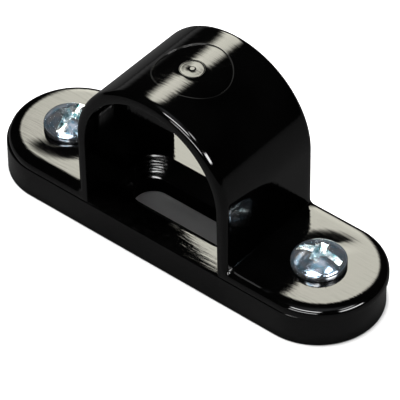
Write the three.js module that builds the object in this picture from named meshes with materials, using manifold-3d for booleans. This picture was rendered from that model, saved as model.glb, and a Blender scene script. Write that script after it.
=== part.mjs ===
// A spacer-bar saddle for round conduit: a bar that is screwed to a wall through its countersunk slot, an
// omega-shaped saddle that arches over the conduit, and two pan-head screws that pull the saddle's feet down
// onto threaded inserts in the bar. Millimetres, +X along the bar, +Y along the conduit, +Z away from the
// wall. The origin is on the wall, under the middle of the part.
import * as THREE from "three";
import { mergeVertices } from "three/addons/utils/BufferGeometryUtils.js";
import Module from "manifold-3d";

// The conduit and the passage that it lies in
const CONDUIT_DIAMETER = 25;
const CONDUIT_SIDE_PLAY = 0.1; // between the conduit and each leg
const CONDUIT_GRIP = 0.3; // how far the crown presses on the conduit once the screws are tight

// The bar
const BAR_WIDTH = 20.2;
const BAR_HEIGHT = 5.3;
const BAR_TOP_EDGE_RADIUS = 0.3;
const BAR_FLOOR = 0.7; // left under each insert
const END_CENTRE_INSET = 0.2; // from each screw's axis inwards to the centre of the half-round end

// The slot for the wall screw, and its countersink
const WALL_SCREW_SHANK = 6;
const WALL_SCREW_HEAD = 11;
const SLOT_TRAVEL = 16; // how far the wall screw can slide from end to end

// The saddle
const SADDLE_WALL = 1.9;
const FOOT_THICKNESS = 1.8;
const SADDLE_EDGE_RADIUS = 1; // round the feet and round both rims of the arch
const SADDLE_SHIFT = 0.5; // the play in its screw holes lets the saddle sit this far off centre
const MEDALLION_DIAMETER = 11.9;
const MEDALLION_DEPTH = 0.25;

// The screws
const THREAD_DIAMETER = 4;
const SCREW_TIP_CHAMFER = 0.4;
const HEAD_DIAMETER = 8.4;
const HEAD_SIDE_HEIGHT = 1;
const HEAD_HEIGHT = 2.7;
const HEAD_SLOT_WIDTH = 1.1;
const HEAD_SLOT_DEPTH = 1.2;
const CROSS_WIDTH = 1.3;
const CROSS_LENGTH = 4.6;
const CROSS_DEPTH = 2;
const DRIVER_ROOM = 5.4; // between each leg and the screw head, so that a driver passes the arch
const LEFT_SCREW_TURN = 101; // degrees from +X to the slot
const RIGHT_SCREW_TURN = 11;

// The inserts
const INSERT_WALL = 0.8;
const INSERT_GROOVE_HEIGHT = 1;
const INSERT_GROOVE_DEPTH = 0.3;

// Clearances
const THREAD_CLEARANCE = 0.1; // round the screw, inside the insert
const INSERT_CLEARANCE = 0.15; // round the insert, inside its pocket
const HOLE_CLEARANCE = 0.2; // round the screw, on the side where the shifted saddle comes nearest
const SCREW_TIP_CLEARANCE = 0.4; // from the screw's end to the floor of the pocket
const INSERT_TOP_CLEARANCE = 0.4; // from the insert to the saddle's foot

// How finely curves are cut into flats
const CURVE_STEPS = 16;
const EDGE_STEPS = 4;
const TURN_STEPS = 40;
const DOME_STEPS = 8;
const CUT_OVERRUN = 2; // how far a cutting solid stands out of what it cuts
const MERGE_DISTANCE = 1e-4; // corners nearer than this are one corner

// Sizes that follow from those above
const PASSAGE_RADIUS = CONDUIT_DIAMETER / 2 + CONDUIT_SIDE_PLAY;
const PASSAGE_CENTRE_HEIGHT = CONDUIT_DIAMETER - CONDUIT_GRIP - PASSAGE_RADIUS;
const ARCH_RADIUS = PASSAGE_RADIUS + SADDLE_WALL;
const SCREW_OFFSET = ARCH_RADIUS + DRIVER_ROOM + HEAD_DIAMETER / 2;
const END_OFFSET = SCREW_OFFSET - END_CENTRE_INSET;
const BAR_LENGTH = 2 * END_OFFSET + BAR_WIDTH;
const SHANK_RADIUS = THREAD_DIAMETER / 2;
const INSERT_BORE_RADIUS = SHANK_RADIUS + THREAD_CLEARANCE;
const INSERT_RADIUS = INSERT_BORE_RADIUS + INSERT_WALL;
const SADDLE_HOLE_RADIUS = SHANK_RADIUS + SADDLE_SHIFT + HOLE_CLEARANCE;
const SCREW_LENGTH = FOOT_THICKNESS + BAR_HEIGHT - BAR_FLOOR - SCREW_TIP_CLEARANCE;
const INSERT_HEIGHT = BAR_HEIGHT - BAR_FLOOR - INSERT_TOP_CLEARANCE;

const wasm = await Module();
wasm.setup();

// A closed three.js geometry as a manifold-3d solid.
function solid(geometry) {
  const bare = geometry.clone();
  bare.deleteAttribute("normal");
  bare.deleteAttribute("uv");
  const merged = mergeVertices(bare, MERGE_DISTANCE);
  return new wasm.Manifold(
    new wasm.Mesh({
      numProp: 3,
      vertProperties: merged.attributes.position.array,
      triVerts: new Uint32Array(merged.index.array),
    }),
  );
}

// A manifold-3d solid as a named three.js mesh.
function mesh(name, made, material) {
  const data = made.getMesh();
  const geometry = new THREE.BufferGeometry();
  geometry.setAttribute("position", new THREE.BufferAttribute(data.vertProperties, 3));
  geometry.setIndex(new THREE.BufferAttribute(data.triVerts, 1));
  geometry.computeVertexNormals();
  const result = new THREE.Mesh(geometry, material);
  result.name = name;
  return result;
}

// An outline with straight sides and half-round ends, centred on the origin.
function stadium(betweenEnds, radius) {
  const shape = new THREE.Shape();
  shape.absarc(betweenEnds / 2, 0, radius, -Math.PI / 2, Math.PI / 2, false);
  shape.absarc(-betweenEnds / 2, 0, radius, Math.PI / 2, (3 * Math.PI) / 2, false);
  shape.closePath();
  return shape;
}

// The outline of an arch: two upright sides from the level "foot" up to a half-round crown.
function archOutline(radius, centreHeight, foot) {
  const shape = new THREE.Shape();
  shape.moveTo(-radius, foot);
  shape.lineTo(radius, foot);
  shape.lineTo(radius, centreHeight);
  shape.absarc(0, centreHeight, radius, 0, Math.PI, false);
  shape.closePath();
  return shape;
}

// A plate from z = 0 to the height, with its top edge rounded over.
function plate(shape, height, edgeRadius) {
  const geometry = new THREE.ExtrudeGeometry(shape, {
    depth: height,
    curveSegments: CURVE_STEPS,
    bevelThickness: edgeRadius,
    bevelSize: edgeRadius,
    bevelOffset: -edgeRadius,
    bevelSegments: EDGE_STEPS,
  });
  geometry.translate(0, 0, -edgeRadius);
  const below = new THREE.BoxGeometry(2 * BAR_LENGTH, 2 * BAR_WIDTH, height);
  below.translate(0, 0, -height / 2);
  return solid(geometry).subtract(solid(below));
}

// A block along Y with an upright outline. Its rims are rounded over where an edge radius is given.
function blockAlongY(shape, width, edgeRadius = 0) {
  const geometry = new THREE.ExtrudeGeometry(shape, {
    depth: width - 2 * edgeRadius,
    curveSegments: CURVE_STEPS,
    bevelEnabled: edgeRadius > 0,
    bevelThickness: edgeRadius,
    bevelSize: edgeRadius,
    bevelOffset: -edgeRadius,
    bevelSegments: EDGE_STEPS,
  });
  geometry.rotateX(Math.PI / 2);
  geometry.translate(0, width / 2 - edgeRadius, 0);
  return solid(geometry);
}

// An upright prism with the outline's walls, from the lower level to the upper one.
function prism(shape, lower, upper) {
  const geometry = new THREE.ExtrudeGeometry(shape, {
    depth: upper - lower,
    curveSegments: CURVE_STEPS,
    bevelEnabled: false,
  });
  geometry.translate(0, 0, lower);
  return solid(geometry);
}

// An upright round rod on the X axis.
function rod(x, radius, lower, upper) {
  const geometry = new THREE.CylinderGeometry(radius, radius, upper - lower, TURN_STEPS);
  geometry.rotateX(Math.PI / 2);
  geometry.translate(x, 0, (upper + lower) / 2);
  return solid(geometry);
}

// A solid turned about Z. The profile is a list of [radius, height] points.
function turned(profile) {
  const points = profile.map(([radius, height]) => new THREE.Vector2(radius, height));
  const geometry = new THREE.LatheGeometry(points, TURN_STEPS);
  geometry.rotateX(Math.PI / 2);
  return solid(geometry);
}

// The bar: a stadium with a countersunk slot through its middle and a blind pocket for each insert.
function spacerBase() {
  const blank = plate(stadium(2 * END_OFFSET, BAR_WIDTH / 2), BAR_HEIGHT, BAR_TOP_EDGE_RADIUS);
  const slot = prism(
    stadium(SLOT_TRAVEL, WALL_SCREW_SHANK / 2),
    -CUT_OVERRUN,
    BAR_HEIGHT + CUT_OVERRUN,
  );
  // A 90 degree countersink is as deep as it is wide on each side of the shank.
  const sink = (WALL_SCREW_HEAD - WALL_SCREW_SHANK) / 2;
  const countersink = new THREE.ExtrudeGeometry(stadium(SLOT_TRAVEL, WALL_SCREW_HEAD / 2), {
    depth: CUT_OVERRUN,
    curveSegments: CURVE_STEPS,
    bevelThickness: sink,
    bevelSize: sink,
    bevelOffset: -sink,
    bevelSegments: 1,
  });
  countersink.translate(0, 0, BAR_HEIGHT);
  let made = blank.subtract(slot).subtract(solid(countersink));
  for (const side of [-1, 1]) {
    const radius = INSERT_RADIUS + INSERT_CLEARANCE;
    made = made.subtract(rod(side * SCREW_OFFSET, radius, BAR_FLOOR, BAR_HEIGHT + CUT_OVERRUN));
  }
  return made;
}

// The saddle, from its feet at z = 0: the arch and the two half-round feet are one moulding.
function saddle() {
  const arch = blockAlongY(
    archOutline(ARCH_RADIUS, PASSAGE_CENTRE_HEIGHT, -CUT_OVERRUN),
    BAR_WIDTH,
    SADDLE_EDGE_RADIUS,
  );
  const feet = plate(
    stadium(2 * END_OFFSET, BAR_WIDTH / 2),
    FOOT_THICKNESS,
    SADDLE_EDGE_RADIUS,
  );
  const below = new THREE.BoxGeometry(2 * BAR_LENGTH, 2 * BAR_WIDTH, 2 * CUT_OVERRUN);
  below.translate(0, 0, -CUT_OVERRUN);
  const passage = blockAlongY(
    archOutline(PASSAGE_RADIUS, PASSAGE_CENTRE_HEIGHT, -CUT_OVERRUN),
    BAR_WIDTH + 2 * CUT_OVERRUN,
  );
  let made = arch.add(feet).subtract(solid(below)).subtract(passage).subtract(medallion());
  for (const side of [-1, 1]) {
    const top = FOOT_THICKNESS + CUT_OVERRUN;
    made = made.subtract(rod(side * SCREW_OFFSET, SADDLE_HOLE_RADIUS, -CUT_OVERRUN, top));
  }
  return made;
}

// The shallow round recess on the crown, following the crown's curve.
function medallion() {
  const outside = archOutline(ARCH_RADIUS + CUT_OVERRUN, PASSAGE_CENTRE_HEIGHT, 0);
  const inside = archOutline(ARCH_RADIUS - MEDALLION_DEPTH, PASSAGE_CENTRE_HEIGHT, -CUT_OVERRUN);
  const skin = blockAlongY(outside, BAR_WIDTH).subtract(
    blockAlongY(inside, BAR_WIDTH + 2 * CUT_OVERRUN),
  );
  const top = PASSAGE_CENTRE_HEIGHT + ARCH_RADIUS + 2 * CUT_OVERRUN;
  return rod(0, MEDALLION_DIAMETER / 2, PASSAGE_CENTRE_HEIGHT, top).intersect(skin);
}

// A pan-head screw with its head's underside at z = 0. Its slot runs along X, over a shorter cross.
function panHeadScrew() {
  const headRadius = HEAD_DIAMETER / 2;
  const rise = HEAD_HEIGHT - HEAD_SIDE_HEIGHT;
  const domeRadius = (headRadius ** 2 + rise ** 2) / (2 * rise);
  const domeCentre = HEAD_HEIGHT - domeRadius;
  const profile = [
    [0, -SCREW_LENGTH],
    [SHANK_RADIUS - SCREW_TIP_CHAMFER, -SCREW_LENGTH],
    [SHANK_RADIUS, SCREW_TIP_CHAMFER - SCREW_LENGTH],
    [SHANK_RADIUS, 0],
    [headRadius, 0],
  ];
  for (let step = 0; step < DOME_STEPS; step += 1) {
    const angle = Math.asin(headRadius / domeRadius) * (1 - step / DOME_STEPS);
    profile.push([domeRadius * Math.sin(angle), domeCentre + domeRadius * Math.cos(angle)]);
  }
  profile.push([0, HEAD_HEIGHT]);
  const recess = [
    [HEAD_DIAMETER + CUT_OVERRUN, HEAD_SLOT_WIDTH, HEAD_SLOT_DEPTH],
    [CROSS_LENGTH, CROSS_WIDTH, CROSS_DEPTH],
    [CROSS_WIDTH, CROSS_LENGTH, CROSS_DEPTH],
  ];
  let made = turned(profile);
  for (const [length, width, depth] of recess) {
    const cutter = new THREE.BoxGeometry(length, width, 2 * depth);
    cutter.translate(0, 0, HEAD_HEIGHT);
    made = made.subtract(solid(cutter));
  }
  return made;
}

// A brass sleeve, standing on z = 0, with the groove that locks it in the moulding.
function threadedInsert() {
  const grooveStart = (INSERT_HEIGHT - INSERT_GROOVE_HEIGHT) / 2;
  return turned([
    [INSERT_BORE_RADIUS, 0],
    [INSERT_RADIUS, 0],
    [INSERT_RADIUS, grooveStart],
    [INSERT_RADIUS - INSERT_GROOVE_DEPTH, grooveStart],
    [INSERT_RADIUS - INSERT_GROOVE_DEPTH, grooveStart + INSERT_GROOVE_HEIGHT],
    [INSERT_RADIUS, grooveStart + INSERT_GROOVE_HEIGHT],
    [INSERT_RADIUS, INSERT_HEIGHT],
    [INSERT_BORE_RADIUS, INSERT_HEIGHT],
    [INSERT_BORE_RADIUS, 0],
  ]);
}

function blackPlastic() {
  return new THREE.MeshStandardMaterial({ color: 0x101011, roughness: 0.15, metalness: 0 });
}

function zincPlate() {
  return new THREE.MeshStandardMaterial({ color: 0xc3cdd6, roughness: 0.22, metalness: 1 });
}

function brass() {
  return new THREE.MeshStandardMaterial({ color: 0xc9a24a, roughness: 0.35, metalness: 1 });
}

// The bar and its inserts stay half the shift to the left of the origin, and the saddle half of it to the
// right. The screws stand in the inserts.
const part = new THREE.Group();

const bar = new THREE.Group();
bar.position.x = -SADDLE_SHIFT / 2;
bar.add(mesh("spacer_base", spacerBase(), blackPlastic()));
part.add(bar);

const arch = mesh("saddle", saddle(), blackPlastic());
arch.position.set(SADDLE_SHIFT / 2, 0, BAR_HEIGHT);
part.add(arch);

const stations = [
  { name: "left", side: -1, turn: LEFT_SCREW_TURN },
  { name: "right", side: 1, turn: RIGHT_SCREW_TURN },
];
for (const { name, side, turn } of stations) {
  const insert = mesh(`insert_${name}`, threadedInsert(), brass());
  insert.position.set(side * SCREW_OFFSET, 0, BAR_FLOOR);
  bar.add(insert);

  const screw = mesh(`screw_${name}`, panHeadScrew(), zincPlate());
  screw.position.set(side * SCREW_OFFSET, 0, BAR_HEIGHT + FOOT_THICKNESS);
  screw.rotation.z = THREE.MathUtils.degToRad(turn);
  bar.add(screw);
}

export default part;
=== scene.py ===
# %% [markdown]
# # A spacer-bar saddle for 25 mm conduit
# This notebook dresses a finished CAD model. The CAD gives the frame: where each piece stands, how big it
# is and how it moves. Here every piece gets a mesh fine enough for glossy plastic, where one badly turned
# face shows as a kink in a reflection, and a material with the small marks that moulding, plating and
# handling leave.

# %% Load the frame
import math
import bmesh
import bpy
from mathutils import Matrix, Vector


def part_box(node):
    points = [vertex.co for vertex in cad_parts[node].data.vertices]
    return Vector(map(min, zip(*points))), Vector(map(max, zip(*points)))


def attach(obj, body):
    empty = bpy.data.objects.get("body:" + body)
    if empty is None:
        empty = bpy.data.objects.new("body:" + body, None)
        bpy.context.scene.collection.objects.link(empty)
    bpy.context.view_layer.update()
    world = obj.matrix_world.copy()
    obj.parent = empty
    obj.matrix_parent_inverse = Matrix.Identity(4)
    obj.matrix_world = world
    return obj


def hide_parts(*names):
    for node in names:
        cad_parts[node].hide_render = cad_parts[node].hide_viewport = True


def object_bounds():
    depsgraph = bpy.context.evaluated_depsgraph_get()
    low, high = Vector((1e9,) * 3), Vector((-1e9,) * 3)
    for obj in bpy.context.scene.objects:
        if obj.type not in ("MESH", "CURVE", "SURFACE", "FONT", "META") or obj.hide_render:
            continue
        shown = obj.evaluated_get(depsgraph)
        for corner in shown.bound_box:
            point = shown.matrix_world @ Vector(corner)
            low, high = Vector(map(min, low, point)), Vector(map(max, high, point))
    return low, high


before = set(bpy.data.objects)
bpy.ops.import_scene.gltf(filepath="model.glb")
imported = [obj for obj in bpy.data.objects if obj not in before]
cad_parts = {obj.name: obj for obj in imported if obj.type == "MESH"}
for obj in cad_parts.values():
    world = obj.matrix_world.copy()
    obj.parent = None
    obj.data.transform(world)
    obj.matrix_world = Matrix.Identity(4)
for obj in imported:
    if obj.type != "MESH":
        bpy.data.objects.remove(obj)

cad_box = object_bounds()

# %% [markdown]
# ## Sizes
# Everything is placed from the boxes of the CAD nodes. Only sizes that a box cannot tell, such as a wall or
# an edge radius, are written here, in metres.

# %% Measure the CAD pieces
MM = 0.001
bar_low, bar_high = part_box("spacer_base")
saddle_low, saddle_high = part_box("saddle")

BAR_MIDDLE_X = (bar_low.x + bar_high.x) / 2
SADDLE_MIDDLE_X = (saddle_low.x + saddle_high.x) / 2
BAR_TOP = bar_high.z
END_RADIUS = (bar_high.y - bar_low.y) / 2
END_OFFSET = (bar_high.x - bar_low.x) / 2 - END_RADIUS
SADDLE_WALL = 1.9 * MM
PASSAGE_RADIUS = 12.6 * MM
ARCH_RADIUS = PASSAGE_RADIUS + SADDLE_WALL
ARCH_CENTRE = saddle_high.z - ARCH_RADIUS
FOOT_TOP = saddle_low.z + 1.8 * MM
print("ends at", END_OFFSET, "arch centre", ARCH_CENTRE, "foot top", FOOT_TOP)

# %% [markdown]
# ## Camera
# A long lens from the front right, looking down at about 43 degrees. The camera comes first, so that every
# later choice can be judged in the picture.

# %% Place the camera
CAMERA_AZIMUTH = math.radians(40.83)
CAMERA_ELEVATION = math.radians(42.61)
CAMERA_ROLL = math.radians(-1.3)
CAMERA_DISTANCE = 559 * MM
LENS = 339.6
SENSOR_WIDTH = 36
AIM_OFFSET = Vector((2.65, -1.7, -7.4)) * MM

level_share = math.cos(CAMERA_ELEVATION)
back = Vector((
    math.sin(CAMERA_AZIMUTH) * level_share,
    -math.cos(CAMERA_AZIMUTH) * level_share,
    math.sin(CAMERA_ELEVATION),
))
level_right = Vector((math.cos(CAMERA_AZIMUTH), math.sin(CAMERA_AZIMUTH), 0))
level_up = back.cross(level_right)
right = level_right * math.cos(CAMERA_ROLL) + level_up * math.sin(CAMERA_ROLL)
up = level_up * math.cos(CAMERA_ROLL) - level_right * math.sin(CAMERA_ROLL)
aim = (cad_box[0] + cad_box[1]) / 2 + AIM_OFFSET

camera_data = bpy.data.cameras.new("camera")
camera_data.sensor_width = SENSOR_WIDTH
camera_data.lens = LENS
camera = bpy.data.objects.new("camera", camera_data)
camera.matrix_world = Matrix.Translation(aim + back * CAMERA_DISTANCE) @ Matrix(
    (right, up, back)
).transposed().to_4x4()
bpy.context.scene.collection.objects.link(camera)
bpy.context.scene.camera = camera
bpy.context.scene.view_settings.view_transform = "Standard"
print("camera at", camera.location)

# %% [markdown]
# ## Node helpers
# Every material and the sky are node trees. One small helper makes a node, sets its options and fills each
# input with either a value or a link, so that a tree reads from top to bottom like a recipe.

# %% Make and link nodes
def node(tree, kind, inputs=None, **options):
    made = tree.nodes.new(kind)
    for name, value in options.items():
        setattr(made, name, value)
    for key, value in (inputs or {}).items():
        if isinstance(value, bpy.types.NodeSocket):
            tree.links.new(value, made.inputs[key])
        else:
            made.inputs[key].default_value = value
    return made


def math_node(tree, operation, *values):
    return node(tree, "ShaderNodeMath", dict(enumerate(values)), operation=operation).outputs[0]


def vector_node(tree, operation, first, other=(0, 0, 0)):
    """Vector arithmetic. To SCALE, the other value is a plain factor."""
    key = "Scale" if operation == "SCALE" else 1
    return node(tree, "ShaderNodeVectorMath", {0: first, key: other}, operation=operation).outputs


def mix_shaders(tree, amount, first, second):
    return node(tree, "ShaderNodeMixShader", {0: amount, 1: first.outputs[0], 2: second.outputs[0]})


def ramp(tree, value, low, high, bottom=0.0, top=1.0):
    inputs = {"Value": value, "From Min": low, "From Max": high, "To Min": bottom, "To Max": top}
    made = node(tree, "ShaderNodeMapRange", inputs, interpolation_type="SMOOTHSTEP")
    return made.outputs["Result"]


def new_group(name, inputs, outputs):
    group = bpy.data.node_groups.new(name, "ShaderNodeTree")
    for socket_name, kind, value in inputs:
        socket = group.interface.new_socket(socket_name, in_out="INPUT", socket_type=kind)
        if value is not None:
            socket.default_value = value
    for socket_name, kind in outputs:
        group.interface.new_socket(socket_name, in_out="OUTPUT", socket_type=kind)
    return group, group.nodes.new("NodeGroupInput").outputs, group.nodes.new("NodeGroupOutput")


def use_group(tree, group, inputs):
    return node(tree, "ShaderNodeGroup", inputs, node_tree=group).outputs


# %% [markdown]
# ## Studio
# Black gloss plastic has almost no colour of its own: what we see is the studio mirrored in it. So the light
# is designed as a set of soft panels on a dark surround. One warm panel behind the left shoulder fills every
# level face, small bright ones in front and to the right put glints on the rounded edges and the screws, a
# dim one overhead fills the domes, and the pale floor lights all from below. The panels are painted on the
# sky by direction. A panel at a real distance would work too, but it would slide over the flats and make
# noise.

# %% A soft panel as a node group
FLOAT = "NodeSocketFloat"
VECTOR = "NodeSocketVector"
SAFE_DIVISOR = 0.001


def panel_group():
    group, given, result = new_group(
        "soft_panel",
        [
            ("Direction", VECTOR, None),
            ("Centre", VECTOR, None),
            ("Across", VECTOR, None),
            ("Upward", VECTOR, None),
            ("Half Width", FLOAT, 0.2),
            ("Half Height", FLOAT, 0.2),
            ("Softness", FLOAT, 0.05),
        ],
        [("Mask", FLOAT)],
    )

    def dot(a, b):
        return vector_node(group, "DOT_PRODUCT", given[a], given[b])["Value"]

    facing = dot("Direction", "Centre")
    safe = math_node(group, "MAXIMUM", facing, SAFE_DIVISOR)
    mask = math_node(group, "GREATER_THAN", facing, 0.0)
    for axis, half in (("Across", "Half Width"), ("Upward", "Half Height")):
        slope = math_node(group, "DIVIDE", dot("Direction", axis), safe)
        offset = math_node(group, "ABSOLUTE", slope)
        inner = math_node(group, "SUBTRACT", given[half], given["Softness"])
        outer = math_node(group, "ADD", given[half], given["Softness"])
        mask = math_node(group, "MULTIPLY", mask, ramp(group, offset, inner, outer, 1.0, 0.0))
    group.links.new(mask, result.inputs["Mask"])
    return group


soft_panel = panel_group()

# %% Paint the sky
SKY_FOR_FLOOR = 0.22
SURROUND = (0.006, 0.006, 0.006)
WARM = (1.0, 0.98, 0.85)
WHITE = (1.0, 1.0, 1.0)
COOL = (0.92, 0.96, 1.0)
PANELS = [
    # azimuth from +Y towards +X, elevation, half width, half height, softness (degrees), radiance, colour
    (-37, 35.5, 7, 12.5, 3, 9.6, WARM),
    (170, 56, 17, 5, 2, 20.0, WHITE),
    (168, 23, 20, 2.5, 2, 20.0, WHITE),
    (91, 31, 17, 6, 2, 20.0, WHITE),
    (82, 60, 8, 5, 2, 9.0, WHITE),
    (-62, 1, 16, 5, 5, 0.2, WHITE),
    (0, 90, 16, 16, 10, 0.45, COOL),
]


def panel_axes(azimuth, elevation):
    azimuth, elevation = math.radians(azimuth), math.radians(elevation)
    level = math.cos(elevation)
    centre = Vector((math.sin(azimuth) * level, math.cos(azimuth) * level, math.sin(elevation)))
    across = Vector((math.cos(azimuth), -math.sin(azimuth), 0))
    return centre, across, across.cross(centre)


world = bpy.data.worlds.new("studio")
bpy.context.scene.world = world
world.use_nodes = True
world.cycles.sampling_method = "NONE"
sky = world.node_tree
sky.nodes.clear()
direction = node(sky, "ShaderNodeTexCoord").outputs["Generated"]
gloss = SURROUND
for azimuth, elevation, half_width, half_height, softness, radiance, colour in PANELS:
    centre, across, upward = panel_axes(azimuth, elevation)
    mask = use_group(sky, soft_panel, {
        "Direction": direction,
        "Centre": centre,
        "Across": across,
        "Upward": upward,
        "Half Width": math.tan(math.radians(half_width)),
        "Half Height": math.tan(math.radians(half_height)),
        "Softness": math.tan(math.radians(softness)),
    })["Mask"]
    light = [channel * radiance for channel in colour]
    lit = vector_node(sky, "SCALE", light, mask)[0]
    gloss = vector_node(sky, "ADD", gloss, lit)[0]
path = node(sky, "ShaderNodeLightPath").outputs
plain = node(sky, "ShaderNodeBackground", {"Color": (*WHITE, 1), "Strength": SKY_FOR_FLOOR})
white = node(sky, "ShaderNodeBackground", {"Color": (*WHITE, 1), "Strength": 1.0})
mirrored = node(sky, "ShaderNodeBackground", {"Color": gloss, "Strength": 1.0})
seen = mix_shaders(sky, path["Is Camera Ray"], plain, white)
both = mix_shaders(sky, path["Is Glossy Ray"], seen, mirrored)
node(sky, "ShaderNodeOutputWorld", {0: both.outputs[0]})
print("panels on the sky", len(PANELS))

# %% [markdown]
# The floor is a plain pale sheet under one large lamp, lit so well that only the contact shadow shows.
# Mirrored in black plastic it would be a glare, so gloss rays meet a darker sheet in the same place. It takes
# the same light and shadow, and so the reflection still darkens towards the place where the bar stands.

# %% Floor and overhead lamp
FLOOR_HALF = 1.5
FLOOR_DROP = 0.02 * MM
floor_mesh = bpy.data.meshes.new("floor")
corners = [(-FLOOR_HALF, -FLOOR_HALF, 0), (FLOOR_HALF, -FLOOR_HALF, 0),
           (FLOOR_HALF, FLOOR_HALF, 0), (-FLOOR_HALF, FLOOR_HALF, 0)]
floor_mesh.from_pydata(corners, [], [(0, 1, 2, 3)])
floor = bpy.data.objects.new("floor", floor_mesh)
floor.location.z = -FLOOR_DROP
bpy.context.scene.collection.objects.link(floor)

FLOOR_PALE = (0.86, 0.86, 0.86, 1)
FLOOR_MIRRORED = (0.055, 0.055, 0.055, 1)
floor_material = bpy.data.materials.new("pale_floor")
floor_material.use_nodes = True
floor_tree = floor_material.node_tree
floor_tree.nodes.clear()
pale_sheet = node(floor_tree, "ShaderNodeBsdfDiffuse", {"Color": FLOOR_PALE})
dark_sheet = node(floor_tree, "ShaderNodeBsdfDiffuse", {"Color": FLOOR_MIRRORED})
mirrored_ray = node(floor_tree, "ShaderNodeLightPath").outputs["Is Glossy Ray"]
sheet = mix_shaders(floor_tree, mirrored_ray, pale_sheet, dark_sheet)
node(floor_tree, "ShaderNodeOutputMaterial", {0: sheet.outputs[0]})
floor_mesh.materials.append(floor_material)

LAMP_SIZE = 0.4
LAMP_POWER = 18
LAMP_HEIGHT = 0.9
lamp_data = bpy.data.lights.new("overhead_softbox", "AREA")
lamp_data.size = LAMP_SIZE
lamp_data.energy = LAMP_POWER
lamp = bpy.data.objects.new("overhead_softbox", lamp_data)
lamp.location = (0, 0, LAMP_HEIGHT)
lamp.rotation_euler = (Vector((0, 0, 0)) - lamp.location).to_track_quat("-Z", "Y").to_euler()
lamp.visible_glossy = False
lamp.visible_camera = False
bpy.context.scene.collection.objects.link(lamp)
print("floor", 2 * FLOOR_HALF, "m wide, lamp at", LAMP_HEIGHT, "m")

# %% [markdown]
# ## Mesh helpers
# Glossy pieces are built as rows of points joined by four-sided faces. Rows follow the way the real surface
# runs, so shading stays smooth, and big flats keep one true normal with the help of weighted normals.

# %% Turn rows into a piece
SMOOTH_ANGLE = math.radians(32)
WELD_DISTANCE = 1e-6
SLIVER_LENGTH = 1e-7
OVERSHOOT = 1 * MM  # how far a cutter stands out of the skin that it cuts


def link_piece(name, built):
    bmesh.ops.remove_doubles(built, verts=built.verts, dist=WELD_DISTANCE)
    bmesh.ops.recalc_face_normals(built, faces=built.faces)
    mesh = bpy.data.meshes.new(name)
    built.to_mesh(mesh)
    built.free()
    piece = bpy.data.objects.new(name, mesh)
    bpy.context.scene.collection.objects.link(piece)
    return piece


def bridge(built, row_a, row_b, closed=True):
    count = len(row_a)
    for i in range(count if closed else count - 1):
        j = (i + 1) % count
        corners = []
        for corner in (row_a[i], row_a[j], row_b[j], row_b[i]):
            if corner not in corners:
                corners.append(corner)
        if len(corners) > 2:
            built.faces.new(corners)


def loft(name, rows):
    """A closed solid through equal rows of points, with a flat cap at each end."""
    built = bmesh.new()
    made = [[built.verts.new(point) for point in row] for row in rows]
    for row_a, row_b in zip(made, made[1:]):
        bridge(built, row_a, row_b)
    built.faces.new(made[0])
    built.faces.new(made[-1])
    return link_piece(name, built)


def cut(piece, cutter):
    """Takes the cutter's shape out of the piece for good, and removes the cutter. Faces left with many sides
    become triangles and slivers go, so that no loose flap stays on the mesh."""
    modifier = piece.modifiers.new("cut", "BOOLEAN")
    modifier.operation = "DIFFERENCE"
    modifier.solver = "EXACT"
    modifier.object = cutter
    evaluated = piece.evaluated_get(bpy.context.evaluated_depsgraph_get())
    mesh = bpy.data.meshes.new_from_object(evaluated)
    cleaned = bmesh.new()
    cleaned.from_mesh(mesh)
    bmesh.ops.triangulate(cleaned, faces=[face for face in cleaned.faces if len(face.verts) > 4])
    bmesh.ops.dissolve_degenerate(cleaned, dist=SLIVER_LENGTH, edges=cleaned.edges)
    cleaned.to_mesh(mesh)
    cleaned.free()
    piece.modifiers.clear()
    piece.data = mesh
    bpy.data.objects.remove(cutter)


def finish_surface(piece, material, is_flat=None):
    """Smooth shading, true normals on the flats. On a curved skin that rule would favour the largest face, so
    a test of a point can tell where it holds."""
    mesh = piece.data
    mesh.shade_smooth()
    mesh.set_sharp_from_angle(angle=SMOOTH_ANGLE)
    mesh.materials.clear()
    mesh.materials.append(material)
    weighted = piece.modifiers.new("true_flats", "WEIGHTED_NORMAL")
    weighted.weight = 100
    weighted.keep_sharp = True
    if is_flat is not None:
        flats = piece.vertex_groups.new(name="flats")
        flats.add([vertex.index for vertex in mesh.vertices if is_flat(vertex.co)], 1.0, "REPLACE")
        weighted.vertex_group = "flats"
    print(piece.name, "faces", len(mesh.polygons))


def quarter(steps):
    return [math.radians(90) * i / steps for i in range(steps + 1)]


# %% [markdown]
# ## Bar
# The bar is a thick stadium: straight sides, half-round ends. Its top edge is just broken, and its underside
# edge is nearly sharp, as where two halves of a mould meet. The slot is cut with a second loft whose outline
# is the same family of stadiums, so both stay smooth round the ends.

# %% Outline and slot
END_STEPS = 72
BAR_TOP_RADIUS = 0.3 * MM
BAR_EDGE_STEPS = 5
BAR_FOOT_RADIUS = 0.12 * MM
SLOT_TRAVEL = 16 * MM
SLOT_HALF = 3 * MM
SLOT_BREAK = 0.15 * MM
SINK_HALF = 5.5 * MM
SINK_RINGS = 3
RING_DEPTHS = (0.018 * MM, 0.03 * MM, 0.024 * MM)
RING_STEPS = 8
RING_FADE = 0.12


def stadium_row(reach, radius, z):
    row = []
    for side in (1, -1):
        for i in range(END_STEPS + 1):
            angle = math.radians(-90) + math.pi * i / END_STEPS
            x = BAR_MIDDLE_X + side * (reach + radius * math.cos(angle))
            row.append(Vector((x, side * radius * math.sin(angle), z)))
    return row


def bar_rows():
    rows = [stadium_row(END_OFFSET, END_RADIUS - BAR_FOOT_RADIUS, 0)]
    rows.append(stadium_row(END_OFFSET, END_RADIUS, BAR_FOOT_RADIUS))
    for angle in quarter(BAR_EDGE_STEPS):
        inset = BAR_TOP_RADIUS * (1 - math.cos(angle))
        z = BAR_TOP - BAR_TOP_RADIUS * (1 - math.sin(angle))
        rows.append(stadium_row(END_OFFSET, END_RADIUS - inset, z))
    return rows


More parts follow.
